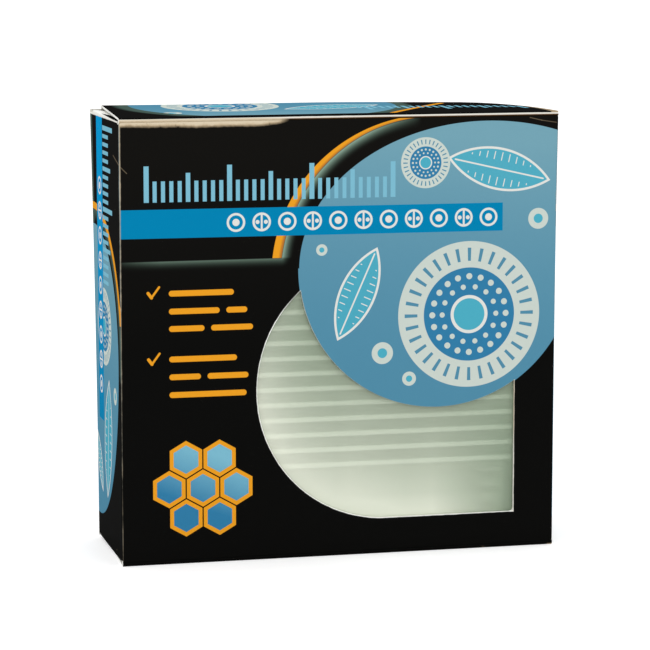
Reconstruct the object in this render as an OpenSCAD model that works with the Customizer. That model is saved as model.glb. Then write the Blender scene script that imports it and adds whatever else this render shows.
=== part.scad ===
// Boxed set of blank microscope slides.
//
// A windowed tuck-end carton stands on its base and holds a slotted plastic slide case, which
// lies with its clear cover towards the window. Glass slides stand on their long edges in the
// case's slots, so their front edges show through the window one above another.
//
// Millimetres. X runs across the front, Y from front to back, Z up. The origin is the middle
// of the base.

/* [Slides] */
// Number of slides in the case
slide_count = 20; // [1:1:20]
// Length of a slide
slide_l = 76; // [75:0.1:76.5]
// Width of a slide
slide_w = 26; // [24:0.1:28]
// Thickness of a slide
slide_t = 1; // [0.8:0.05:1.2]
// Ground bevel along the long edges of a slide
slide_bevel = 0.15; // [0.05:0.05:0.3]

/* [Slots] */
// Number of slots in the case
slot_count = 25; // [24:1:30]
// Distance from one slot to the next
slot_pitch = 3.25; // [2.8:0.05:4]
// Width of a slot
slot_w = 1.35; // [1.25:0.05:1.6]
// How far a slot's mouth flares to each side
slot_flare = 0.5; // [0:0.1:0.7]
// Empty slots below the lowest slide
slots_below = 4; // [0:1:4]
// How far the ribs between the slots reach in from the end walls
rib_reach = 3.2; // [2:0.1:5]
// How far the ribs stop short of the tray's rim
rib_setback = 1.5; // [0.5:0.1:4]
// Play at each end of a slide
slide_end_play = 0.4; // [0.2:0.1:1]
// Play in front of the slides, under the cover
slide_front_play = 0.3; // [0.2:0.05:1]
// Play behind the slides, over the tray's floor
slide_back_play = 0.25; // [0.2:0.05:1]

/* [Case] */
// Thickness of the case's end walls, behind the slots
case_end_wall = 1.2; // [1:0.1:2]
// Thickness of the case's floor, cover face and long walls
case_wall = 1.1; // [0.9:0.1:2]
// From the middle of an outermost slot to the case's outside
case_margin = 5.15; // [3:0.05:8]
// Depth of the slotted tray, from its back to its rim
tray_d = 17.5; // [12:0.5:20]
// Corner radius of the case
case_corner_r = 2.5; // [1.5:0.5:4]
// Chamfer round the case's front and back faces
case_chamfer = 1; // [0.5:0.1:1.5]
// Height of the lip that stands into the cover
lip_h = 1.2; // [0.8:0.1:2]
// Thickness of that lip
lip_t = 0.5; // [0.4:0.05:0.6]
// Clearance between the lip and the cover
lip_gap = 0.1; // [0.05:0.05:0.2]

/* [Case hinge and latch] */
// Number of hinge knuckles, shared out between tray and cover
knuckle_count = 5; // [3:2:7]
// Length of a hinge knuckle
knuckle_l = 10; // [6:1:12]
// Outer radius of a hinge knuckle
knuckle_r = 1.6; // [1.4:0.1:2]
// Distance of the hinge line from the case's side
hinge_out = 2; // [1.9:0.1:2.5]
// Thickness of the webs that carry the knuckles
hinge_web = 1.4; // [1:0.1:2]
// Gap between neighbouring knuckles
knuckle_gap = 0.3; // [0.2:0.1:0.5]
// Radius of the hinge pin
pin_r = 0.7; // [0.5:0.05:0.9]
// Clearance round the hinge pin
pin_gap = 0.05; // [0.03:0.01:0.1]
// Width of the latch
latch_w = 14; // [8:1:20]
// Thickness of the latch's spring tab
latch_t = 1; // [0.8:0.1:1.5]
// Gap between the latch's tab and the tray
latch_gap = 1; // [0.8:0.1:1.2]
// Reach of the latch's tab past the rim, and of its root before the rim
latch_reach = 5; // [4.5:0.5:7]
// Length of the hook at the end of the tab
hook_l = 1.5; // [1:0.1:2]
// Length of the catch's ramp
catch_l = 2.2; // [1.5:0.1:2.4]
// How far the catch and the hook stand out into that gap
catch_h = 0.7; // [0.5:0.05:0.7]
// Play between the hook and the catch
catch_play = 0.3; // [0.2:0.1:0.5]

/* [Carton] */
// Thickness of the carton's board
board_t = 0.45; // [0.35:0.05:0.6]
// Outer radius of a fold in the board
fold_r = 0.6; // [0.6:0.05:0.8]
// Gap at a crease between two panels, and between board layers
crease_gap = 0.1; // [0.05:0.05:0.2]
// Space between the closures and the dust flaps
flap_gap = 0.15; // [0.1:0.05:0.3]
// Space at each side of the case, for its hinge and latch
side_space = 6.45; // [5.5:0.05:10]
// Space between the case and the front panel
front_space = 0.3; // [0.2:0.05:1]
// Space on each face of a tuck flap, behind the case
tuck_space = 0.3; // [0.25:0.05:1]
// Space above the case, up to the top dust flaps' folds
head_space = 2.55; // [2:0.05:6]
// Width of the glued seam
glue_w = 12; // [8:1:16]

/* [Closures] */
// Length of the tuck flaps
tuck_l = 12.5; // [9:0.5:14]
// Radius of a tuck flap's free corners
tuck_corner_r = 5; // [2:0.5:7]
// Radius of the crease bead between a closure and its tuck flap
tuck_bead_r = 0.45; // [0.45:0.05:0.6]
// How far a closure is cut back at each end of its free edge
closure_taper = 1.6; // [0.5:0.1:3]
// Play at each end of a closure along its crease
closure_play = 0.1; // [0.05:0.05:0.3]
// Degrees by which the top closure rises towards the back, on its dust flaps
top_rise = 1; // [0:0.1:1.2]
// Length of the dust flaps
flap_l = 26; // [15:1:40]
// Level stretch at the root of a dust flap
flap_root = 0.5; // [0.2:0.1:1]
// Corner radius and relief of the dust flaps
flap_corner_r = 4; // [2:0.5:6]
// Degrees by which the top dust flaps sink into the carton
flap_sink = 2; // [0:0.1:2.2]
// Distance of a dust flap from the front panel's inside
flap_front_play = 1.15; // [1:0.05:2]
// Distance of a dust flap from the tuck flap
flap_back_play = 1.3; // [1.2:0.05:3]

/* [Window] */
// Middle of the round window, across from the carton's middle
window_x = 9.8; // [5:0.1:12]
// Middle of the round window, above the base
window_z = 35.5; // [34:0.1:38]
// Radius of the round window
window_r = 27.8; // [20:0.1:28]
// Radius of the window's lower right corner
window_corner_r = 0.8; // [0.5:0.1:3]
// How far the window's right side runs straight up above its middle
window_straight = 5; // [4:0.1:6]
// Middle of the disc that the window is cut along, across
disc_x = 20.9; // [18:0.1:24]
// Middle of that disc, above the base
disc_z = 60.7; // [58:0.1:64]
// Radius of that disc
disc_r = 29.9; // [28:0.1:32]

/* [Hidden] */
function slide_name(number) = str("slide_", number < 10 ? "0" : "", number);

board_color = [0.06, 0.06, 0.055];
glass_color = [0.80, 0.88, 0.82, 0.5];
tray_color = [0.80, 0.84, 0.77];
cover_color = [0.90, 0.93, 0.90, 0.3];
pin_color = "silver";
cut = 1;                // how far a cutting shape runs past what it cuts

// The case, from the slides outwards
case_w = slide_l + 2 * (slide_end_play + case_end_wall);
case_h = (slot_count - 1) * slot_pitch + 2 * case_margin;
case_d = case_wall + slide_front_play + slide_w + slide_back_play + case_wall;

// The carton's box, from the case outwards
inner_d = front_space + case_d + tuck_space + board_t + tuck_space;
carton_w = case_w + 2 * (side_space + board_t);
carton_d = inner_d + 2 * board_t;
flap_step = board_t + flap_gap;                 // closure's outside to dust flap's outside
case_z = flap_step + board_t;                   // the case rests on the bottom dust flaps
carton_h = case_z + case_h + head_space + flap_step;
half_w = carton_w / 2;
half_d = carton_d / 2;
flap_top = carton_h - flap_step;                // outside of the top dust flaps at their folds

// The case's place, and the slides' in it
case_front = -half_d + board_t + front_space;
case_back = case_front + case_d;
rim_y = case_back - tray_d;
case_mid_z = case_z + case_h / 2;
room_half = case_w / 2 - case_end_wall;         // from the middle to an end wall's inside
first_slot_z = case_z + case_margin;
slide_back = case_back - case_wall - slide_back_play;
hinge_x = -case_w / 2 - hinge_out;
hinge_step = knuckle_l + knuckle_gap;
hinge_run = knuckle_count * hinge_step - knuckle_gap;
hook_y = rim_y + latch_reach - hook_l;          // the hook's face, which meets the catch
latch_root_gap = lip_h + lip_gap;               // the tab leaves the cover above its step
bond = (case_wall - lip_t - lip_gap) / 2;       // what grows from a case wall starts this deep

// The creases: the front ones carry the closures, and the tuck flaps hang from their free edges
crease_y = -half_d + fold_r;
tuck_y = half_d - board_t - tuck_space - tuck_bead_r;
closure_reach = tuck_y - crease_y;

// ---- Board shapes ----------------------------------------------------------------------

// A quarter of a fold seen along its crease, turned by `turn` degrees
module fold_section(turn) {
    rotate(turn)
        intersection() {
            difference() {
                circle(fold_r, $fn = 32);
                circle(fold_r - board_t, $fn = 32);
            }
            square(fold_r + cut);
        }
}

// The front panel and its two vertical folds, seen from above
module front_section() {
    translate([-half_w + fold_r, -half_d]) square([carton_w - 2 * fold_r, board_t]);
    translate([-half_w + fold_r, -half_d + fold_r]) fold_section(180);
    translate([half_w - fold_r, -half_d + fold_r]) fold_section(270);
}

// The back panel: one fold joins the left side, the other turns in to the glued seam
module back_section() {
    translate([-half_w + fold_r, half_d - board_t])
        square([carton_w - board_t - 2 * fold_r, board_t]);
    translate([-half_w + fold_r, half_d - fold_r]) fold_section(90);
    translate([half_w - board_t - fold_r, half_d - fold_r]) fold_section(0);
}

// The side panels: the right one ends in a raw edge over the seam
module side_section() {
    translate([-half_w, -half_d + fold_r]) square([board_t, carton_d - 2 * fold_r]);
    translate([half_w - board_t, -half_d + fold_r])
        square([board_t, carton_d - fold_r - crease_gap]);
}

// The seam's flap, glued inside the right side panel
module seam_section() {
    translate([half_w - 2 * board_t, half_d - fold_r - glue_w]) square([board_t, glue_w]);
}

// A dust flap's outline seen from above, its fold included: free corners rounded, relieved
// at the back
module dust_flap_outline(front, back) {
    root = -fold_r - cut;
    polygon([
        [root, front], [flap_l - flap_corner_r, front],
        [flap_l, front + flap_corner_r], [flap_l, back - 2 * flap_corner_r],
        [flap_l - flap_corner_r, back - flap_corner_r], [flap_corner_r, back - flap_corner_r],
        [0, back], [root, back]
    ]);
    translate([flap_l - flap_corner_r, front + flap_corner_r]) circle(flap_corner_r, $fn = 48);
    translate([flap_l - flap_corner_r, back - 2 * flap_corner_r]) circle(flap_corner_r, $fn = 48);
}

// A dust flap seen along its fold: level at its root, then sinking by `sink` degrees
module dust_flap_section(sink) {
    drop = (flap_l - flap_root) * tan(sink);
    inside = fold_r - board_t;
    fold_section(90);
    polygon([
        [0, inside], [flap_root, inside], [flap_l, inside - drop],
        [flap_l, fold_r - drop], [flap_root, fold_r], [0, fold_r]
    ]);
}

// The dust flap of the left side, with its fold, whose centre is at z = 0
module dust_flap(sink) {
    front = -half_d + board_t + flap_front_play;
    back = tuck_y - flap_back_play;
    translate([-half_w + fold_r, 0, 0])
        intersection() {
            translate([0, half_d, 0])
                rotate([90, 0, 0])
                    linear_extrude(carton_d) dust_flap_section(sink);
            linear_extrude(2 * flap_l, center = true) dust_flap_outline(front, back);
        }
}

// Both dust flaps of one end of the carton
module dust_flap_pair(sink) {
    dust_flap(sink);
    mirror([1, 0, 0]) dust_flap(sink);
}

// The window's outline: a circle squared at its lower right, cut off along the disc
module window_outline() {
    difference() {
        union() {
            translate([window_x, window_z]) circle(window_r, $fn = 128);
            translate([window_x, window_z - window_r])
                square([window_r - window_corner_r, window_r]);
            translate([window_x, window_z - window_r + window_corner_r])
                square([window_r, window_r - window_corner_r + window_straight]);
            translate([window_x + window_r - window_corner_r,
                       window_z - window_r + window_corner_r])
                circle(window_corner_r, $fn = 32);
        }
        translate([disc_x, disc_z]) circle(disc_r, $fn = 128);
    }
}

// ---- The carton: one folded and glued blank --------------------------------------------

// The room in which a closure's crease bead turns
module crease_clearance(z) {
    translate([0, crease_y, z])
        rotate([0, 90, 0])
            cylinder(r = fold_r + crease_gap, h = carton_w + 2 * cut, center = true, $fn = 48);
}

module carton() {
    color(board_color)
        difference() {
            union() {
                translate([0, 0, flap_step])
                    linear_extrude(flap_top - flap_step) {
                        front_section();
                        back_section();
                    }
                translate([0, 0, flap_step + fold_r])
                    linear_extrude(flap_top - flap_step - 2 * fold_r) {
                        side_section();
                        seam_section();
                    }
                translate([0, 0, flap_top - fold_r]) dust_flap_pair(flap_sink);
                translate([0, 0, flap_step + fold_r]) mirror([0, 0, 1]) dust_flap_pair(0);
            }
            crease_clearance(carton_h - fold_r);
            crease_clearance(fold_r);
            translate([0, -half_d + board_t + cut, 0])
                rotate([90, 0, 0])
                    linear_extrude(board_t + 2 * cut) window_outline();
        }
}

// ---- The closures and their tuck flaps -------------------------------------------------

// A closure seen along its crease: the bead at the origin, the panel to its right
module closure_section() {
    difference() {
        union() {
            circle(fold_r, $fn = 48);
            translate([0, fold_r - board_t]) square([closure_reach, board_t]);
        }
        translate([closure_reach, fold_r - tuck_bead_r])
            circle(tuck_bead_r + crease_gap, $fn = 32);
    }
}

// A closure with its crease bead along the X axis: the panel runs to +Y, outside uppermost,
// and narrows towards its free edge
module closure(rise) {
    panel_w = carton_w - 2 * closure_play;
    free_w = panel_w - 2 * closure_taper;
    rotate([rise, 0, 0])
        intersection() {
            rotate([90, 0, 90]) linear_extrude(panel_w, center = true) closure_section();
            linear_extrude(2 * (fold_r + cut), center = true)
                polygon([
                    [-panel_w / 2, -fold_r - cut], [panel_w / 2, -fold_r - cut], [panel_w / 2, 0],
                    [free_w / 2, closure_reach], [-free_w / 2, closure_reach], [-panel_w / 2, 0]
                ]);
        }
}

// A tuck flap hanging from its crease bead, which lies along the X axis
module tuck_flap() {
    bead_w = carton_w - 2 * (closure_play + closure_taper);
    flap_w = bead_w - 2 * closure_taper;
    rotate([0, 90, 0]) cylinder(r = tuck_bead_r, h = bead_w, center = true, $fn = 32);
    translate([0, tuck_bead_r, 0])
        rotate([90, 0, 0])
            linear_extrude(board_t) {
                translate([-flap_w / 2, -tuck_l + tuck_corner_r])
                    square([flap_w, tuck_l - tuck_corner_r]);
                translate([-flap_w / 2 + tuck_corner_r, -tuck_l])
                    square([flap_w - 2 * tuck_corner_r, tuck_l]);
                for (side = [-1, 1])
                    translate([side * (flap_w / 2 - tuck_corner_r), -tuck_l + tuck_corner_r])
                        circle(tuck_corner_r, $fn = 48);
            }
}

module top_lid() {
    color(board_color)
        translate([0, crease_y, carton_h - fold_r]) closure(top_rise);
}

module top_tuck() {
    color(board_color)
        translate([0, crease_y, carton_h - fold_r])
            rotate([top_rise, 0, 0])
                translate([0, closure_reach, fold_r - tuck_bead_r])
                    rotate([-top_rise, 0, 0]) tuck_flap();
}

module bottom_lid() {
    color(board_color)
        translate([0, crease_y, fold_r]) mirror([0, 0, 1]) closure(0);
}

module bottom_tuck() {
    color(board_color)
        translate([0, tuck_y, tuck_bead_r]) mirror([0, 0, 1]) tuck_flap();
}

// ---- The slide case --------------------------------------------------------------------

// The case's outer block from y0 to y1, its corners rounded, with its front and back
// face edges chamfered
module case_block(y0, y1) {
    intersection() {
        translate([0, y1, case_z])
            rotate([90, 0, 0])
                linear_extrude(y1 - y0) case_outline(0);
        linear_extrude(case_z + case_h + cut) chamfered(case_w / 2);
        translate([0, 0, case_mid_z])
            rotate([0, 90, 0])
                linear_extrude(case_w + cut, center = true) chamfered(case_h / 2);
    }
}

// The case seen from the front, shrunk by `inset`, standing on y = 0
module case_outline(inset) {
    w = case_w - 2 * inset;
    h = case_h - 2 * inset;
    r = case_corner_r - inset;
    translate([0, inset]) {
        translate([-w / 2 + r, 0]) square([w - 2 * r, h]);
        translate([-w / 2, r]) square([w, h - 2 * r]);
        for (x = [-w / 2 + r, w / 2 - r])
            for (y = [r, h - r])
                translate([x, y]) circle(r, $fn = 48);
    }
}

// The case's section across its depth, `half` to each side, with all four edges chamfered
module chamfered(half) {
    c = case_chamfer;
    polygon([
        [-half, case_front + c], [-half + c, case_front], [half - c, case_front],
        [half, case_front + c], [half, case_back - c], [half - c, case_back],
        [-half + c, case_back], [-half, case_back - c]
    ]);
}

// Space inside the case from y0 to y1: between its end walls and its long walls
module case_room(y0, y1) {
    translate([-room_half, y0, case_z + case_wall])
        cube([2 * room_half, y1 - y0, case_h - 2 * case_wall]);
}

// One slot of a rack, flared at its mouth, cut from the rack at the +X end
module slot_cut() {
    mouth_y = rim_y + rib_setback;
    flare_y = mouth_y + 2 * slot_flare;
    floor_y = case_back - case_wall;
    translate([room_half - rib_reach - cut, 0, 0])
        rotate([90, 0, 90])
            linear_extrude(rib_reach + cut)
                polygon([
                    [mouth_y - cut, -slot_w / 2 - slot_flare], [mouth_y, -slot_w / 2 - slot_flare],
                    [flare_y, -slot_w / 2], [floor_y, -slot_w / 2],
                    [floor_y, slot_w / 2], [flare_y, slot_w / 2],
                    [mouth_y, slot_w / 2 + slot_flare], [mouth_y - cut, slot_w / 2 + slot_flare]
                ]);
}

// The rack of ribs on the +X end wall
module rack() {
    difference() {
        translate([room_half - rib_reach, rim_y + rib_setback, case_z + case_wall - bond])
            cube([
                rib_reach + bond, tray_d - rib_setback - case_wall + bond,
                case_h - 2 * (case_wall - bond)
            ]);
        for (i = [0 : slot_count - 1])
            translate([0, 0, first_slot_z + i * slot_pitch]) slot_cut();
    }
}

// Knuckles `first`, first + 2, ... of the hinge, each with the web that ties it to the
// wall on the `side` (-1 cover, 1 tray) of the rim
module knuckles(first, side) {
    for (i = [first : 2 : knuckle_count - 1])
        translate([hinge_x, rim_y, case_mid_z - hinge_run / 2 + i * hinge_step])
            difference() {
                union() {
                    cylinder(r = knuckle_r, h = knuckle_l, $fn = 32);
                    translate([0, side < 0 ? -knuckle_r : knuckle_r - hinge_web, 0])
                        cube([hinge_out + bond, hinge_web, knuckle_l]);
                }
                translate([0, 0, -cut])
                    cylinder(r = pin_r + pin_gap, h = knuckle_l + 2 * cut, $fn = 32);
            }
}

// The latch's width, for a shape seen from above
module latch_span() {
    translate([0, 0, case_mid_z - latch_w / 2])
        linear_extrude(latch_w) children();
}

module case_base() {
    color(tray_color) {
        difference() {
            case_block(rim_y, case_back);
            case_room(rim_y - cut, case_back - case_wall);
        }
        // Lip that stands into the cover
        difference() {
            translate([0, rim_y + lip_h, case_z])
                rotate([90, 0, 0])
                    linear_extrude(2 * lip_h) case_outline(case_wall - lip_t);
            case_room(rim_y - lip_h - cut, rim_y + lip_h + cut);
        }
        rack();
        mirror([1, 0, 0]) rack();
        knuckles(0, 1);
        // Catch that the cover's latch hooks over
        latch_span()
            translate([case_w / 2, hook_y - catch_play - catch_l])
                polygon([[-bond, 0], [0, 0], [catch_h, catch_l], [-bond, catch_l]]);
    }
}

module case_cover() {
    color(cover_color) {
        difference() {
            case_block(case_front, rim_y);
            case_room(case_front + case_wall, rim_y + cut);
            // Step that the tray's lip stands in
            translate([0, rim_y + cut, case_z])
                rotate([90, 0, 0])
                    linear_extrude(lip_h + lip_gap + cut)
                        case_outline(case_wall - lip_t - lip_gap);
        }
        knuckles(1, -1);
        // Spring tab of the latch, with its hook
        latch_span()
            translate([case_w / 2, 0])
                polygon([
                    [-bond, rim_y - latch_reach], [latch_gap + latch_t, rim_y - latch_reach],
                    [latch_gap + latch_t, hook_y + hook_l], [latch_gap - catch_h, hook_y + hook_l],
                    [latch_gap - catch_h, hook_y], [latch_gap, hook_y],
                    [latch_gap, rim_y - latch_root_gap], [-bond, rim_y - latch_root_gap]
                ]);
    }
}

module case_hinge_pin() {
    color(pin_color)
        translate([hinge_x, rim_y, case_mid_z])
            cylinder(r = pin_r, h = hinge_run, center = true, $fn = 32);
}

// ---- The slides ------------------------------------------------------------------------

// Slide number `number`, counted from the lowest, lying on the ribs under it
module slide(number) {
    z = first_slot_z + (slots_below + number - 1) * slot_pitch - slot_w / 2;
    b = slide_bevel;
    color(glass_color)
        translate([0, slide_back - slide_w, z])
            rotate([90, 0, 90])
                linear_extrude(slide_l, center = true)
                    polygon([
                        [b, 0], [slide_w - b, 0], [slide_w, b], [slide_w, slide_t - b],
                        [slide_w - b, slide_t], [b, slide_t], [0, slide_t - b], [0, b]
                    ]);
}

carton();
top_lid();
top_tuck();
bottom_lid();
bottom_tuck();
case_base();
case_cover();
case_hinge_pin();
for (i = [1 : slide_count])
    slide(i);
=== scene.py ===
import bpy
import math
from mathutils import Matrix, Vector


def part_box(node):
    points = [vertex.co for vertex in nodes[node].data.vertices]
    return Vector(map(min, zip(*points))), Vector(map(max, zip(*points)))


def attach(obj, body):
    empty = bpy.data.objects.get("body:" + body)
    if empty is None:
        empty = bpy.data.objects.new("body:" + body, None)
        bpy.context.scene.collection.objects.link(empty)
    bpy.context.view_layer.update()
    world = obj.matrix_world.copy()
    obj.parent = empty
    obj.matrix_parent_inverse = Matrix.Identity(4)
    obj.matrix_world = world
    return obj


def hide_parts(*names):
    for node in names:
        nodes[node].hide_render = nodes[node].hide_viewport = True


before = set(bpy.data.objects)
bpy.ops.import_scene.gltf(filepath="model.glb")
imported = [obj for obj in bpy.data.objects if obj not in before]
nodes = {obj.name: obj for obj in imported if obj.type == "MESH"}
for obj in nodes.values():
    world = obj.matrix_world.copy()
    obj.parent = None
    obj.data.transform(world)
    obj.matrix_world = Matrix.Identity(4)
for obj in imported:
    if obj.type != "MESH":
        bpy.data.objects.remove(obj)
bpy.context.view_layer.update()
bpy.ops.object.select_all(action="DESELECT")
MM = 0.001


# ---- The camera --------------------------------------------------------------------------
# A long lens a little to the left of the carton and a little above it, so that the front,
# a sliver of the left side and a thin strip of the lid show.
camera_turn = math.radians(-13.97)
camera_rise = math.radians(7.98)
camera_distance = 0.6376
camera_aim = Vector((0.26 * MM, -0.3 * MM, 46.75 * MM))
camera_back = Vector((
    math.sin(camera_turn) * math.cos(camera_rise),
    -math.cos(camera_turn) * math.cos(camera_rise),
    math.sin(camera_rise),
))
bpy.ops.object.camera_add(location=camera_aim + camera_back * camera_distance)
camera = bpy.context.object
camera.rotation_mode = "QUATERNION"
camera.rotation_quaternion = (-camera_back).to_track_quat("-Z", "Y")
camera.data.lens = 166.2
camera.data.sensor_width = 36
camera.data.clip_start = 0.01
bpy.context.scene.camera = camera


# ---- The carton --------------------------------------------------------------------------
# One blank of white folding board, printed on its outside and varnished, then creased and
# glued into a tube with four dust flaps. Its cut edges and its inside show the bare board.
class Wire:
    """A socket in a material: sums on it add Math nodes, and node() adds any other node."""

    def __init__(self, tree, socket=None):
        self.tree = tree
        self.socket = socket

    def node(self, kind, settings=None, values=None, output=0):
        added = self.tree.nodes.new("ShaderNode" + kind)
        for name, setting in (settings or {}).items():
            setattr(added, name, setting)
        for name, value in (values or {}).items():
            if isinstance(value, Wire):
                self.tree.links.new(value.socket, added.inputs[name])
            else:
                added.inputs[name].default_value = value
        return Wire(self.tree, added.outputs[output])

    def math(self, operation, *others, clamp=False):
        settings = {"operation": operation, "use_clamp": clamp}
        return self.node("Math", settings, dict(enumerate((self, *others))))

    def __add__(self, other):
        return self.math("ADD", other)

    __radd__ = __add__

    def __sub__(self, other):
        return self.math("SUBTRACT", other)

    def __rsub__(self, other):
        return self.math("MULTIPLY_ADD", -1.0, other)

    def __mul__(self, other):
        return self.math("MULTIPLY", other)

    __rmul__ = __mul__

    def __truediv__(self, other):
        return self.math("DIVIDE", other)

    def __neg__(self):
        return self.math("MULTIPLY", -1.0)

    def __abs__(self):
        return self.math("ABSOLUTE")


def least(first, second):
    return first.math("MINIMUM", second)


def most(first, second):
    return first.math("MAXIMUM", second)


def length(across, up):
    return (across * across + up * up).math("SQRT")


def inside(distance, soft=0.06):
    """1 where a distance is below nought, 0 where it is above, with an edge that wide."""
    return distance.math("MULTIPLY_ADD", -1.0 / soft, 0.5, clamp=True)


def ramp(value, start, stop):
    """0 at start, 1 at stop and a straight slope between them."""
    span = stop - start
    return value.math("MULTIPLY_ADD", 1.0 / span, -start / span, clamp=True)


def disc(across, up, middle_across, middle_up, radius):
    return length(across - middle_across, up - middle_up) - radius


def block(across, up, middle_across, middle_up, half_width, half_height):
    return most(abs(across - middle_across) - half_width, abs(up - middle_up) - half_height)


def turned(across, up, middle_across, middle_up, angle):
    """The place on the print, seen from a point on it and turned by an angle in degrees."""
    cosine = math.cos(math.radians(angle))
    sine = math.sin(math.radians(angle))
    along = across - middle_across
    rise = up - middle_up
    return along * cosine + rise * sine, rise * cosine - along * sine


def stroke(across, up, start, stop, half_width):
    """Distance from a straight stroke with round ends."""
    reach = math.hypot(stop[0] - start[0], stop[1] - start[1])
    angle = math.degrees(math.atan2(stop[1] - start[1], stop[0] - start[0]))
    along, rise = turned(across, up, start[0], start[1], angle)
    past = along - along.math("MAXIMUM", 0.0).math("MINIMUM", reach)
    return length(past, rise) - half_width


def ink(red, green, blue):
    """A printed colour as it is named on a screen, from 0 to 255, for a shader's socket."""
    parts = []
    for part in (red, green, blue):
        part = part / 255
        parts.append(part / 12.92 if part < 0.04045 else ((part + 0.055) / 1.055) ** 2.4)
    return (*parts, 1.0)


def paint(ground, colour, mask):
    """The ground with a colour laid over it where the mask is 1."""
    return mask.node("Mix", {"data_type": "RGBA"}, {0: mask, 6: ground, 7: colour}, output=2)


def new_material(name):
    """A material with its shader and an empty Wire to start its expressions from."""
    material = bpy.data.materials.new(name)
    material.use_nodes = True
    tree = material.node_tree
    return material, tree.nodes["Principled BSDF"], Wire(tree)


def join(shader, name, wire):
    wire.tree.links.new(wire.socket, shader.inputs[name])


def dress(node, material):
    """Gives a CAD node its material, in every slot that it has."""
    mesh = nodes[node].data
    mesh.materials.clear()
    mesh.materials.append(material)


def place(start):
    """The spot in the object, then its place in millimetres and the way the surface faces."""
    spot = start.node("TexCoord", output=3)
    facing = start.node("TexCoord", output=1)
    across, deep, up = (
        start.node("SeparateXYZ", None, {0: spot}, output=axis) * (1 / MM) for axis in range(3)
    )
    faces = (start.node("SeparateXYZ", None, {0: facing}, output=axis) for axis in range(3))
    return spot, across, deep, up, *faces


def noise(spot, size, detail=2.0):
    """Smooth noise between 0 and 1 whose blotches are about that many millimetres wide."""
    values = {"Vector": spot, "Scale": 0.7 / (size * MM), "Detail": detail}
    return spot.node("TexNoise", None, values)


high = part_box("carton")[1]
half_w = high.x / MM
half_d = high.y / MM
panel_top = high.z / MM
lid_fold = panel_top
print_depth = 0.25
rack_depth = 0.6
fold_radius = 0.6
window_across, window_up, window_radius, window_right = 9.8, 35.5, 27.8, 37.6
disc_across, disc_up, disc_radius = 20.9, 60.7, 29.9
black = ink(13, 13, 12)
black_top = ink(20, 19, 17)
band_blue = ink(3, 131, 179)
band_top = ink(0, 153, 211)
title_blue = ink(126, 188, 209)
orange = ink(238, 160, 37)
orange_shade = ink(186, 117, 48)
glow_teal = ink(152, 183, 163)
lid_teal = ink(74, 96, 88)
field_light = ink(117, 165, 181)
field_blue = ink(82, 141, 168)
deep_blue = ink(52, 126, 168)
cyan = ink(78, 174, 196)
pale = ink(204, 214, 206)
outline_white = ink(228, 228, 222)
board_white = ink(238, 236, 228)
board_inside = ink(214, 210, 198)
cut_white = ink(252, 252, 247)
# Tan and cream paint real wear, and also the painted reflection and highlight along the lid's
# front fold.
wear_and_sheen_tan = ink(198, 176, 142)
wear_and_sheen_cream = ink(220, 205, 178)
worn_cool = ink(150, 166, 168)
crease_highlight_tan = ink(196, 140, 80)


def stripes(along, pitch, half_width):
    """Distance from lines that repeat at a pitch, with one of them at nought."""
    return abs(along.math("WRAP", pitch / 2, -pitch / 2)) - half_width


def scale_ticks(ground, along, up, start, count, pitch, foot, tall):
    """A printed measuring scale: every fifth tick is longer and every tenth the longest."""
    run = along - start
    ticks = None
    for every, share, thick in ((1, 0.58, 0.24), (5, 0.8, 0.27), (10, 1.0, 0.3)):
        half_tall = tall * share / 2
        tick = most(
            stripes(run, pitch * every, pitch * thick), abs(up - (foot + half_tall)) - half_tall
        )
        ticks = least(ticks, tick) if ticks else tick
    ends = (count - 1) * pitch / 2
    return paint(ground, title_blue, inside(most(ticks, abs(run - ends) - ends - pitch * 0.4)))


def round_diatom(ground, across, up, middle, radius):
    """A round cell wall: a pale ring with ribs, a deep blue middle with dots, a cyan heart."""
    along = across - middle[0]
    rise = up - middle[1]
    reach = length(along, rise)
    turn = rise.math("ARCTAN2", along)
    ground = paint(ground, pale, inside(reach - radius))
    ribs = most(
        stripes(turn * (radius * 0.8), radius * 0.8 * math.tau / 32, radius * 0.022),
        abs(reach - radius * 0.82) - radius * 0.09,
    )
    ground = paint(ground, field_blue, inside(ribs))
    ground = paint(ground, deep_blue, inside(reach - radius * 0.64))
    for ring, count, size in ((0.52, 20, 0.042), (0.38, 14, 0.036)):
        step = math.tau / count
        beside = turn.math("WRAP", step / 2, -step / 2) * (radius * ring)
        dots = length(beside, reach - radius * ring)
        ground = paint(ground, pale, inside(dots - radius * size))
    ground = paint(ground, cyan, inside(reach - radius * 0.24))
    return paint(ground, outline_white, inside(abs(reach - radius * 0.24) - radius * 0.022))


def long_diatom(ground, across, up, middle, angle, half_length, half_width):
    """A boat-shaped cell wall: a cyan lens with a white outline, a spine and short ribs."""
    along, rise = turned(across, up, middle[0], middle[1], angle)
    sweep = (half_length ** 2 + half_width ** 2) / (2 * half_width)
    hull = length(along, abs(rise) + (sweep - half_width)) - sweep
    ground = paint(ground, cyan, inside(hull) * 0.88)
    ribs = most(stripes(along, half_length / 7, 0.1), hull + half_width * 0.2)
    ribs = most(ribs, half_width * 0.4 - abs(rise))
    spine = most(abs(rise) - 0.16, hull + half_width * 0.2)
    lines = least(least(abs(hull + 0.2) - 0.24, spine), ribs)
    return paint(ground, outline_white, inside(lines))


def small_cell(ground, across, up, middle, radius):
    """A small pale cell with a cyan core."""
    reach = length(across - middle[0], up - middle[1])
    ground = paint(ground, pale, inside(reach - radius))
    return paint(ground, cyan, inside(reach - radius * 0.45))


def field_ground(up, start, stop):
    """The blue ground of the picture, lighter at its top than at its foot."""
    height = ramp(up, start, stop)
    return paint(field_blue, field_light, height * height)


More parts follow.
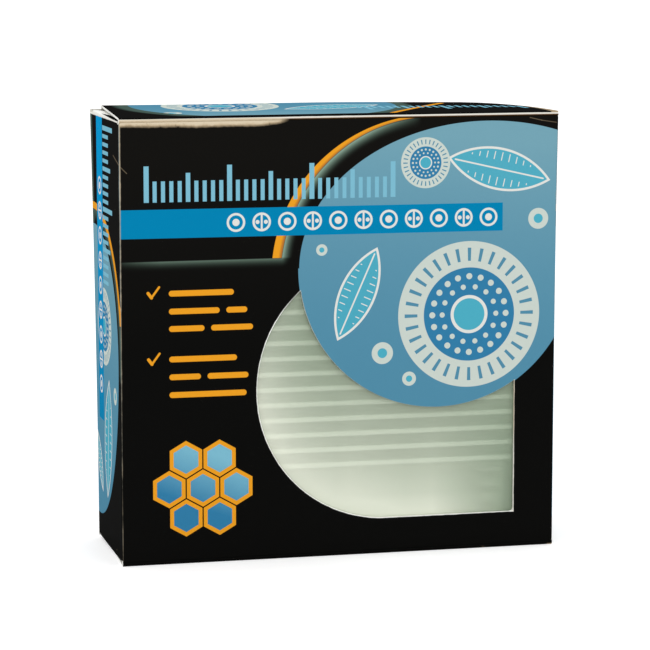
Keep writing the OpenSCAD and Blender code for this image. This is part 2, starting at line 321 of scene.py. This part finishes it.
def splitting_cells(ground, along, up, start, count, pitch, middle):
    """A row of cells in white, by turns whole and splitting in two."""
    radius, wall = 1.7, 0.24
    run = along - start
    whole = run.math("WRAP", pitch, -pitch)
    halved = (run - pitch).math("WRAP", pitch, -pitch)
    rise = up - middle
    lines = least(abs(length(whole, rise) - radius) - wall, length(whole, rise) - 0.75)
    lines = least(lines, abs(length(halved, rise) - radius) - wall)
    lines = least(lines, most(abs(halved) - 0.2, abs(rise) - radius))
    lines = least(lines, length(abs(halved) - 0.88, rise) - 0.42)
    ends = (count - 1) * pitch / 2
    return paint(ground, outline_white, inside(most(lines, abs(run - ends) - ends - pitch / 2)))


def bars(ground, across, up, left, rows):
    """Lines of plain round-ended bars: each row has its height and the widths of its bars."""
    end, gap = 0.6, 1.4
    for height, widths in rows:
        start = left
        for width in widths:
            bar = stroke(across, up, (start + end, height), (start + width - end, height), end)
            ground = paint(ground, orange, inside(bar))
            start += width + gap
    return ground


def check_mark(ground, across, up, left, foot):
    """A plain tick in front of a group of lines."""
    short = stroke(across, up, (left + 0.2, foot + 1.3), (left + 0.9, foot + 0.35), 0.32)
    long = stroke(across, up, (left + 0.9, foot + 0.35), (left + 2.5, foot + 2.5), 0.22)
    return paint(ground, orange, inside(least(short, long)))


def honeycomb(ground, across, up, middle, size):
    """Seven six-sided cells in blue with orange walls, laid out about both middle lines."""
    step = 2.08 * size
    side = abs(across - middle[0])
    rise = abs(up - middle[1])
    cells = None
    for out, above in ((0.0, 0.0), (step, 0.0), (step / 2, step * 0.866)):
        along = abs(side - out)
        over = abs(rise - above)
        cell = most(along, along * 0.5 + over * 0.866) - size * 0.88
        cells = least(cells, cell) if cells else cell
    blues = paint(deep_blue, title_blue, ramp(up + across * 0.4, middle[1] - 16, middle[1] - 4))
    ground = paint(ground, blues, inside(cells))
    return paint(ground, orange, inside(abs(cells) - size * 0.12))


def front_print(across, up):
    """The front panel: glow and orange sweep, field with its cells, scale, band, points, comb."""
    sweep_radius, sweep_foot, band_up = 32.85, 63.2, 70.7
    reach = length(across - 18.9, up - 59.1)
    narrowing = ramp(up, 66.0, 91.5)
    sweep_half = 0.95 - 0.7 * (narrowing * narrowing)
    beside = (sweep_radius - sweep_half - reach).math("MAXIMUM", 0.0)
    beyond = length(beside, (sweep_foot - up).math("MAXIMUM", 0.0))
    fading = ramp(beyond, 2.6, 0.0)
    glow = ramp(beyond, 0.0, 0.2) * fading * fading * fading * ramp(across, 17.0, 5.0)
    under = ramp(up, sweep_foot + 0.2, sweep_foot - 0.2)
    glow = glow * (1 - under * (1 - 0.42 * fading)) * ramp(across, -48.0, -38.0)
    ground = paint(paint(black, black_top, ramp(up, 45.0, 85.0)), glow_teal, glow)
    sweep = most(abs(reach - sweep_radius) - sweep_half, most(sweep_foot - up, across - 20))
    shaded = inside(reach - sweep_radius + 0.5 * sweep_half, 0.5)
    ground = paint(ground, paint(orange, orange_shade, shaded), inside(sweep))

    picture = field_ground(up + across * 0.1, 34.0, 90.0)
    picture = round_diatom(picture, across, up, (27.6, 50.2), 15.4)
    picture = long_diatom(picture, across, up, (3.4, 55.2), 66.0, 10.5, 3.9)
    picture = long_diatom(picture, across, up, (34.0, 80.6), -13.0, 11.4, 4.4)
    picture = round_diatom(picture, across, up, (18.0, 82.2), 5.3)
    picture = small_cell(picture, across, up, (8.8, 42.6), 2.3)
    picture = small_cell(picture, across, up, (14.6, 37.0), 1.5)
    picture = small_cell(picture, across, up, (-4.2, 64.6), 1.2)
    picture = small_cell(picture, across, up, (42.6, 70.0), 2.2)
    rounding = most(length((across - 31.5) * 0.741, up - disc_up) - 30.0, disc_up - 0.2 - up)
    hanging = disc(across, up, disc_across, disc_up, disc_radius + 0.2)
    hanging = most(hanging, up - (disc_up + 0.2))
    ground = paint(ground, picture, inside(least(rounding, hanging)))

    ground = scale_ticks(ground, across, up, -40.9, 31, 1.73, 75.25, 7.4)
    level = up + across * 0.0035
    ground = paint(ground, band_blue, inside(block(across, level, -6.1, band_up, 40.9, 2.95)))
    ground = splitting_cells(ground, across, level, -22.3, 11, 5.4, band_up)
    ground = check_mark(ground, across, up, -40.9, 55.4)
    ground = check_mark(ground, across, up, -40.9, 41.7)
    ground = bars(ground, across, up, -36.4, (
        (56.5, (13.6,)), (52.8, (10.6, 4.4)), (49.2, (7.4, 8.8)),
        (42.9, (14.2,)), (39.2, (6.6, 8.6)), (35.5, (16.2,)),
    ))
    return honeycomb(ground, across, up, (-29.5, 15.8), 3.4)


def side_print(across, up):
    """A side panel: the picture's disc runs over its back edge, with band, scale and sweep."""
    sweep_radius, band_across = 30.4, 7.9
    rise = up - 41.8
    reach = length(across - 13.5, rise - rise.math("MINIMUM", 0.0) * 0.26)
    beside = (sweep_radius - 0.5 - reach).math("MAXIMUM", 0.0)
    edge = abs(across - 14.0)
    glow = ramp(beside, 0.0, 0.5) * ramp(beside, 2.7, 0.5) * ramp(up, 38.0, 40.0)
    ground = paint(black, lid_teal, most(glow, ramp(edge, 1.3, 0.3) * ramp(up, 68.0, 69.0)))
    sweep = most(abs(reach - sweep_radius) - 0.75, 50.0 - up)
    ground = paint(ground, orange, inside(sweep))
    picture = field_ground(up, 8.0, 66.0)
    picture = round_diatom(picture, across, up, (3.5, 47.5), 8.2)
    picture = long_diatom(picture, across, up, (0.5, 24.0), 98.0, 13.0, 4.6)
    picture = small_cell(picture, across, up, (-8.6, 34.5), 1.8)
    picture = long_diatom(picture, across, up, (11.6, 17.5), 62.0, 7.0, 2.4)
    ground = paint(ground, picture, inside(reach - 26.5))
    leaning = across + (up - 47.0) * 0.05
    ground = scale_ticks(ground, -up, -leaning, -89.4, 20, 1.7, -4.4, 10.5)
    band = paint(band_blue, band_top, ramp(up, 25.0, 80.0))
    ground = paint(ground, band, inside(block(leaning, up, band_across, 60.0, 3.1, 33.0)))
    return splitting_cells(ground, -up, leaning, -77.0, 9, 5.3, band_across)


def back_print(up):
    """The back panel, which is plain but for the band."""
    return paint(black, band_blue, inside(abs(up - 69.6) - 3.15))


def varnish_board(shader, spot, surface, varnish, fibre, grain, patches, coat=0.022):
    """Joins a board's colour to its shader, with varnish where it is printed, but off its wear
    and its painted highlights and reflections.
    """
    join(shader, "Base Color", surface)
    join(shader, "Roughness", 0.8 - varnish * (0.35 + 0.08 * grain))
    join(shader, "Coat Weight", varnish * coat)
    shader.inputs["Coat Roughness"].default_value = 0.18
    shader.inputs["Specular IOR Level"].default_value = 0.0
    relief = {"Strength": 0.08, "Distance": 0.0003, "Height": fibre * 0.3 + patches}
    join(shader, "Normal", spot.node("Bump", None, relief))


# Each wall shows its print where the surface is near its outside and faces outwards.
carton_board, shader, start = new_material("printed_carton_board")
spot, x, y, z, nx, ny, nz = place(start)
front = inside(y + (half_d - print_depth), 0.02) * ramp(-ny, 0.6, 0.62)
back = inside((half_d - print_depth) - y, 0.02) * ramp(ny, 0.6, 0.62)
left = inside(x + (half_w - rack_depth), 0.02) * ramp(-nx, 0.7, 0.72)
right = inside((half_w - rack_depth) - x, 0.02) * ramp(nx, 0.7, 0.72)
under_flap = inside(z - 1.4, 0.02) * ramp(-nz, 0.6, 0.62)
fibre = noise(spot, 0.35, 4.0)
side = most(left, right)
surface = paint(board_inside, board_white, fibre)
flap_top = inside((panel_top - 3.0) - z, 0.02) * ramp(nz, 0.6, 0.62)
surface = paint(surface, cut_white, flap_top)
surface = paint(surface, black, under_flap)
surface = paint(surface, front_print(x, z), front)
surface = paint(surface, side_print(y * (left - right), z), side)
surface = paint(surface, back_print(z), back)

# Wear: the upright folds have cracked through to the white board, the front left one all the way.
# A black strip along the dust flaps' folds, in their front half, is painted shade under the lid's
# edge, laid on like print running over the fold.
grain = noise(spot, 0.8, 4.0)
patches = noise(spot, 6.0, 3.0)
corner = least(length(half_w - abs(x), half_d + y), length(half_w - abs(x), half_d - y))
# Painted shade under the lid's edge: black along the dust flaps' folds, widest at the front and
# gone a little behind the middle.
lid_shade_width = 1.1 * ramp(y, 6.0, 0.0) * ramp(y, -14.5, -13.0)
lid_shade_strip = inside((half_w - lid_shade_width) - abs(x), 0.1) * ramp(abs(x), half_w - 0.05, half_w - 0.15)
surface = paint(surface, black, flap_top * lid_shade_strip * ramp(grain, 0.2, 0.35))
front_left = inside(x) * inside(y)
crack_depth = 0.06 + 0.22 * grain * patches + front_left * (0.1 + 0.1 * ramp(z, 30.0, 80.0))
cracked = inside(corner - crack_depth, 0.15) * most(front_left, ramp(patches, 0.54, 0.68))
surface = paint(surface, paint(worn_cool, wear_and_sheen_tan, front * (0.4 + 0.6 * grain)), cracked)
fold_line = inside((panel_top - 0.3) - z - grain * 0.25, 0.12) * side
surface = paint(surface, board_white, fold_line)
# On the front panel's left part, just under the lid's fold, a tan and cream streak is a painted
# reflection of the room in the varnish where the panel curves over.
tapering = ramp(x, -18.0, -10.5)
streak_depth = (1 - tapering * tapering) * (1.35 - 0.3 * ramp(x, -34.0, -44.0))
streak_depth = streak_depth + 0.5 * (patches - 0.5)
streak_edge = (panel_top - streak_depth) - z
streak = inside(streak_edge + 0.4 * (grain - 0.5), 0.6) * front * ramp(x, -11.0, -13.0)
# The painted reflection's colour: tan at its lower edge, cream above.
rubbed = paint(wear_and_sheen_tan, wear_and_sheen_cream, ramp(streak_edge + 0.8 * (grain - 0.5), -0.1, -0.6))
surface = paint(surface, rubbed, streak * (1 - 0.6 * ramp(grain, 0.66, 0.72)))
wear_and_reflection = most(most(cracked, fold_line), streak)

# The window's die-cut edge is white, and the print has chipped back from it. Its right side
# is rubbed tan.
front_wall = inside(y + (half_d - 1.0))
window_left = (window_across - x).math("MAXIMUM", 0.0)
window_out = length(window_left, z - window_up) - window_radius
window_out = most(window_out, x - window_right)
disc_out = disc(x, z, disc_across, disc_up, disc_radius)
chipped = most(abs(window_out) - (0.04 + 0.3 * grain * patches), -disc_out)
chipped = inside(chipped, 0.1) * front_wall
surface = paint(surface, cut_white, chipped * ramp(z, 62.0, 50.0))
right_cut = ramp(x, window_right - 0.4, window_right - 0.2)
surface = paint(surface, wear_and_sheen_tan, chipped * right_cut * (0.25 + 0.45 * ramp(z, 22.0, 26.0)))
disc_cut = most(abs(disc_out) - (0.01 + 0.1 * grain), window_out)
surface = paint(surface, worn_cool, inside(disc_cut, 0.1) * front * 0.6)
for start_point, stop_point, wide in (
    ((-46.5, 82.9), (-44.9, 81.3), 0.05), ((40.6, 91.2), (43.2, 90.6), 0.05),
    ((43.2, 90.6), (46.4, 90.1), 0.04),
):
    scratch = inside(stroke(x, z, start_point, stop_point, wide), 0.16) * front * 0.35
    surface = paint(surface, wear_and_sheen_tan, scratch)
scratch = inside(stroke(y, z, (-9.2, 84.5), (-15.5, 83.0), 0.1), 0.2) * left * 0.28
surface = paint(surface, wear_and_sheen_tan, scratch)
for spot_y, spot_z, radius in (
    (-8.0, 92.0, 0.5), (-10.8, 73.5, 0.35), (-8.6, 2.2, 0.4), (-10.0, 1.6, 0.3),
):
    speck = inside(disc(y, z, spot_y, spot_z, radius * 0.6) + grain * 0.3, 0.15) * left * 0.5
    surface = paint(surface, wear_and_sheen_tan, speck)
printed = most(most(most(front, back), side), under_flap)
# The varnish is left off the wear and off the painted reflection.
varnish = printed * (1 - wear_and_reflection)
varnish_board(shader, spot, surface, varnish, fibre, grain, patches)
dress("carton", carton_board)


def reshaped(node, name, body, cuts, bend):
    """A bent copy of a CAD node, which takes the node's place on its body. The mesh is first
    cut across, and bend() gives the shift of each of its points, in millimetres."""
    piece = bpy.data.objects.new(name, nodes[node].data.copy())
    bpy.context.collection.objects.link(piece)
    bpy.context.view_layer.objects.active = piece
    piece.select_set(True)
    bpy.ops.mesh.customdata_custom_splitnormals_clear()
    bpy.ops.object.mode_set(mode="EDIT")
    bpy.ops.mesh.select_all(action="SELECT")
    bpy.ops.mesh.remove_doubles(threshold=0.005 * MM)
    for direction, places in cuts:
        for cut in places:
            bpy.ops.mesh.select_all(action="SELECT")
            middle = [axis * cut * MM for axis in direction]
            bpy.ops.mesh.bisect(plane_co=middle, plane_no=direction)
    bpy.ops.object.mode_set(mode="OBJECT")
    for vertex in piece.data.vertices:
        vertex.co += bend(vertex.co / MM) * MM
    bpy.ops.object.shade_smooth_by_angle(angle=math.radians(30))
    piece.select_set(False)
    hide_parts(node)
    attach(piece, body)


def share_of(value, start, stop):
    """How far a value has come from start to stop, from 0 to 1."""
    return min(max((value - start) / (stop - start), 0.0), 1.0)


def rack_carton(point):
    """The left side has racked: its back edge stands out at the top and in at the foot. The
    right side leans out towards its top, and its back corner there is pressed down."""
    height = point.z / panel_top
    deep = share_of(point.y, -half_d, half_d)
    top_part = share_of(point.z, 80.0, panel_top)
    left_part = share_of(-point.x, 20.0, half_w)
    right_part = share_of(point.x, 30.0, half_w)
    out = (-0.38 + 0.3 * height + 0.76 * height ** 2) * deep ** 1.5
    lean = 0.15 * height + 0.33 * height ** 5
    lift = 0.5 * left_part - 0.7 * right_part ** 2
    return Vector((lean * right_part - out * left_part, 0, lift * deep ** 2 * top_part))


down_the_panel = [((0, 1, 0), range(-9, 15, 4)), ((0, 0, 1), range(10, 90, 10))]
reshaped("carton", "racked_carton", "box", down_the_panel, rack_carton)


# ---- The closures ------------------------------------------------------------------------
# The lid and the base closure are flaps of the same board, each with a tuck flap that goes
# in behind the slide case. The lid carries the print; the base and the tucks are plain black.
def lid_print(across, deep):
    """The lid: the picture's disc on its left, the sweep and the scale on its right."""
    ground = paint(black, lid_teal, inside(disc(across, deep, -11.0, 10.0, 31.5), 1.6) * 0.9)
    picture = field_ground(-deep, -14.0, 14.0)
    picture = round_diatom(picture, across, deep, (-20.5, 8.5), 12.5)
    picture = long_diatom(picture, across, deep, (2.5, 3.0), 20.0, 12.0, 4.4)
    picture = small_cell(picture, across, deep, (-33.5, -6.0), 2.0)
    ground = paint(ground, picture, inside(disc(across, deep, -11.0, 10.0, 28.6)))
    sweep = stroke(across, deep, (8.6, -17.0), (29.0, 11.0), 0.6)
    ground = paint(ground, orange, inside(sweep))
    ground = scale_ticks(ground, -across, -deep, -43.5, 22, 1.7, -3.6, 8.2)
    return paint(ground, black, inside(deep + (half_d - 2.6)))


def lid_crease(surface, bead, x, z, grain, _patches):
    """The lid's front fold: a white line along it where the board has cracked, with a painted
    highlight and a painted tan fringe; a faint painted tan highlight on the bead below; and at
    the left end the painted reflection that carries on the front panel's streak.
    """
    reflection_end = ramp(x, -11.0, -13.0)
    crack_half = 0.05 + 0.13 * grain - 0.05 * ramp(x, 0.0, 30.0)
    above = z - (lid_fold + 0.2) + 0.08 * reflection_end
    crack_and_highlight = inside(abs(above) - crack_half, 0.1) * bead
    below = inside(z - lid_fold) * bead
    # A painted highlight: a faint tan along the top of the bead below the fold.
    crease_highlight_rim = ramp(z, lid_fold - 0.3, lid_fold) * (0.12 + 0.3 * grain)
    surface = paint(surface, paint(black, crease_highlight_tan, crease_highlight_rim), below)
    # At the left end the bead carries on the front panel's painted reflection, in tan and cream.
    rubbed = below * reflection_end * ramp(grain, 0.2, 0.3)
    surface = paint(surface, paint(wear_and_sheen_tan, wear_and_sheen_cream, grain), rubbed)
    # The white line's colour: white with a painted tan fringe at its foot, and cream at the left
    # end.
    cracked = paint(board_white, crease_highlight_tan, ramp(above, 0.02, -0.12) * 0.5)
    cracked = paint(wear_and_sheen_cream, cracked, ramp(x, -18.0, -10.0))
    return paint(surface, cracked, crack_and_highlight), most(crack_and_highlight, below)


def base_crease(surface, bead, _x, _z, grain, patches):
    """The base closure's front fold, which is only rubbed in spots."""
    surface = paint(surface, black, bead)
    rubbed = bead * ramp(patches * grain, 0.42, 0.5) * 0.4
    return paint(surface, wear_and_sheen_tan, rubbed), bead


def closure_finish(name, outside_up, printing, crease_wear_and_sheen, coat):
    """Board whose outside faces up or down and carries a print, with white edges and inside."""
    board, shader, start = new_material(name)
    spot, x, y, z, nx, ny, nz = place(start)
    fibre = noise(spot, 0.35, 4.0)
    grain = noise(spot, 0.8, 4.0)
    patches = noise(spot, 6.0, 3.0)
    outside = ramp(nz * outside_up, 0.5, 0.55)
    surface = paint(board_inside, board_white, fibre)
    surface = paint(surface, printing(x, y) if printing else black, outside)
    surface = paint(surface, cut_white, ramp(-nx, 0.6, 0.7))
    bead = inside(y + (half_d - 1.3), 0.05) * ramp(ny, -0.6, -0.7)
    surface, crease = crease_wear_and_sheen(surface, bead, x, z, grain, patches)
    side_wear = inside((half_w - 1.0) - x - grain * patches, 0.3) * outside * 0.7
    surface = paint(surface, wear_and_sheen_tan, side_wear)
    varnish = outside * (1 - most(crease, side_wear))
    varnish_board(shader, spot, surface, varnish, fibre, grain, patches, coat)
    return board


dress("top_lid", closure_finish("printed_lid_board", 1.0, lid_print, lid_crease, 0.01))
dress("bottom_lid", closure_finish("black_base_board", -1.0, None, base_crease, 0.022))


def tuck_finish(name, fold_z):
    """A tuck flap: black outside, white edges and inside, and a cracked fold."""
    board, shader, start = new_material(name)
    spot, _, _, z, _, ny, _ = place(start)
    fibre = noise(spot, 0.35, 4.0)
    grain = noise(spot, 0.8, 4.0)
    patches = noise(spot, 6.0, 3.0)
    outside = ramp(ny, 0.25, 0.3)
    surface = paint(board_inside, board_white, fibre)
    surface = paint(surface, black, outside)
    crease = inside(abs(z - fold_z) - 0.12 - 0.5 * grain * patches, 0.12) * outside
    surface = paint(surface, board_white, crease)
    varnish = outside * (1 - crease)
    varnish_board(shader, spot, surface, varnish, fibre, grain, patches)
    return board


dress("top_tuck", tuck_finish("top_tuck_board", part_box("top_tuck")[1].z / MM - 0.15))
dress("bottom_tuck", tuck_finish("bottom_tuck_board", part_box("bottom_tuck")[0].z / MM + 0.15))


def sag(across, share):
    """How far a spot has sagged, from nought at the lid's crease to all of it at share 1."""
    slack = share_of(across, -half_w, 20.0 - half_w)
    slope = share_of(across, 0.0, 44.0)
    corner = share_of(across, 32.0, half_w)
    far_edge = 0.1 * slack - 0.2 + 0.5 * slope * slope * (3 - 2 * slope)
    return share * (far_edge + share * 0.85 * corner * corner)


def sag_lid(point):
    """None of the sag at the lid's crease and all of it at its far edge. The lid's right end
    goes out with the carton's leaning side."""
    share = share_of(point.y, lid_hinge, tuck_hinge)
    right_part = share_of(point.x, 30.0, half_w)
    return Vector((0.45 * right_part, 0, -sag(point.x, share)))


def sag_tuck(point):
    """The tuck's fold goes down with the lid's far edge. Its right shoulder is cut back, so
    that it clears the lid's drooping corner where the tuck folds in."""
    share = share_of(point.z, 82.0, 90.0)
    along = share_of(point.x, 18.0, 45.0)
    shoulder = 1.8 * min(along / 0.01, 1.0) + 3.7 * along ** 1.3
    return Vector((0, 0, -share * (sag(point.x, 1.0) + shoulder)))


lid_hinge = -half_d + fold_radius
tuck_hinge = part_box("top_tuck")[0].y / MM + 0.45
across_lid = [((1, 0, 0), range(-42, 46, 4)), ((0, 1, 0), range(-10, 14, 6))]
reshaped("top_lid", "sagging_lid", "top_closure", across_lid, sag_lid)
across_tuck = [((1, 0, 0), (*range(-42, 46, 4), 18.3)), ((0, 0, 1), range(82, 94, 4))]
reshaped("top_tuck", "sagging_tuck", "top_flap", across_tuck, sag_tuck)


# ---- The slide case ----------------------------------------------------------------------
# A milky moulded tray with a rack of slots down each end, a clear cover on a wire hinge
# and a snap catch.
case_milk, shader, start = new_material("milky_plastic")
spot, *_ = place(start)
cloud = noise(spot, 9.0, 3.0)
join(shader, "Base Color", paint(ink(212, 222, 200), ink(228, 235, 218), cloud))
join(shader, "Roughness", 0.38 + 0.12 * noise(spot, 0.4))
shader.inputs["Specular IOR Level"].default_value = 0.4
dress("case_base", case_milk)

case_clear, shader, start = new_material("clear_plastic")
spot, x, _, z, _, ny, _ = place(start)
cloud = noise(spot, 14.0, 2.0)
# The cover's colour is a painted glare of light: pale low down and towards the left, dark green
# towards the right end. Its outer face is made more opaque where the glare is painted, so that it
# shows over the slides.
low_down = ramp(z, 46.8, 8.6)
glare_reach = ramp(x, 36.0, 20.0)
far_left = ramp(x, -1.0, -17.0)
far_left_glare = ramp(x, -4.0, -18.0)
glare = low_down.math("POWER", 1.5) * (0.8 + 0.35 * ramp(x, 14.0, 2.0))
glare = glare + 0.25 * ramp(z, 12.5, 8.0)
glare = glare_reach * (glare + far_left * (0.1 + 0.43 * low_down) + far_left_glare * far_left_glare * 0.5)
join(shader, "Base Color", paint(ink(165, 182, 157), ink(242, 247, 228), glare))
outer_face = ramp(-ny, 0.5, 0.6)
haze_and_glare = 0.5 + far_left * low_down * 0.1 + 0.16 * glare_reach * ramp(z, 19.0, 11.0)
join(shader, "Alpha", 0.05 + outer_face * (haze_and_glare - 0.05))
join(shader, "Roughness", 0.16 + 0.08 * cloud)
shader.inputs["Specular IOR Level"].default_value = 0.3
dress("case_cover", case_clear)

steel, shader, start = new_material("steel_wire")
spot, *_ = place(start)
drawn = start.node("Mapping", None, {"Vector": spot, "Scale": (1.0, 1.0, 0.05)})
streaks = noise(drawn, 0.2)
join(shader, "Base Color", paint(ink(168, 170, 172), ink(206, 207, 208), streaks))
join(shader, "Roughness", 0.25 + 0.2 * streaks)
shader.inputs["Metallic"].default_value = 1.0
dress("case_hinge_pin", steel)


# ---- The slides --------------------------------------------------------------------------
# Plain glass slips with ground edges, lying flat one above another in the rack. The ground edges
# are pale and the faces clear and faintly green. Painted light makes the faces lighter towards
# the bottom and the left, and faces, edges and bevels darker towards the right end; the lower
# bevels carry a painted highlight and the upper ones painted shade.
glass, shader, start = new_material("ground_edge_glass")
spot, x, _, z, _, _, nz = place(start)
edge = ramp(abs(nz), 0.9, 0.8)
bevel = edge * ramp(-nz, 0.3, 0.4)
upper_bevel = edge * ramp(nz, 0.3, 0.4)
frost = noise(spot, 0.15, 3.0)
# The painted light on the slides fades out towards the right end.
painted_light_share = ramp(x, 36.0, 14.0)
ground_edge = paint(ink(202, 214, 194), ink(226, 232, 216), painted_light_share * (0.4 + 0.6 * frost))
# A painted highlight on the lower bevels.
bevel_highlight = paint(ink(222, 232, 214), ink(252, 252, 244), painted_light_share)
# Painted light on the faces: lighter low down and towards the left.
brightness = painted_light_share * (0.2 + 0.6 * ramp(z, 46.8, 8.6) + 0.3 * ramp(x, -1.0, -17.0))
face = paint(ink(176, 197, 168), ink(222, 232, 209), brightness)
surface = paint(paint(face, ground_edge, edge), bevel_highlight, bevel)
# Painted shade on the upper bevels: toned halfway back to the faces' colour.
surface = paint(surface, face, upper_bevel * 0.5)
grazing = start.node("Fresnel", None, {"IOR": 1.52})
join(shader, "Base Color", surface)
join(shader, "Alpha", most(edge * 0.96, 0.12 + 0.8 * grazing))
join(shader, "Roughness", 0.08 + 0.4 * edge)
for name in nodes:
    if name.startswith("slide_"):
        dress(name, glass)


# ---- The floor and the lamp --------------------------------------------------------------
# A pale floor that runs out of sight and glows a little for the camera alone, one soft lamp
# above and in front, and a white room that looks a little brighter than it lights.
bpy.ops.mesh.primitive_plane_add(size=8.0, location=(0, 0, 0))
floor = bpy.context.object
floor.name = "floor"
floor_paint, shader, start = new_material("floor_paint")
shader.inputs["Base Color"].default_value = (0.8, 0.8, 0.8, 1.0)
shader.inputs["Roughness"].default_value = 0.9
rays = start.node("LightPath", output=0)
join(shader, "Emission Color", paint((0, 0, 0, 1), (0.45, 0.45, 0.45, 1), rays))
shader.inputs["Emission Strength"].default_value = 1.0
floor.data.materials.append(floor_paint)

world = bpy.data.worlds.new("white_room")
world.use_nodes = True
bpy.context.scene.world = world
start = Wire(world.node_tree)
camera_rays = start.node("LightPath", output=0)
glossy_rays = start.node("LightPath", output=3)
through_rays = start.node("LightPath", output=6)
seen = most(most(camera_rays, glossy_rays), through_rays)
background = world.node_tree.nodes["Background"]
background.inputs["Color"].default_value = (1, 1, 1, 1)
world.node_tree.links.new((0.92 + 0.08 * seen).socket, background.inputs["Strength"])

bpy.ops.object.light_add(type="AREA", location=(-0.25, -0.95, 0.7))
key = bpy.context.object
key.data.size = 1.4
key.data.energy = 3
key.rotation_euler = (Vector((0, 0, 0.05)) - key.location).to_track_quat("-Z", "Y").to_euler()

bpy.context.scene.view_settings.view_transform = "Standard"
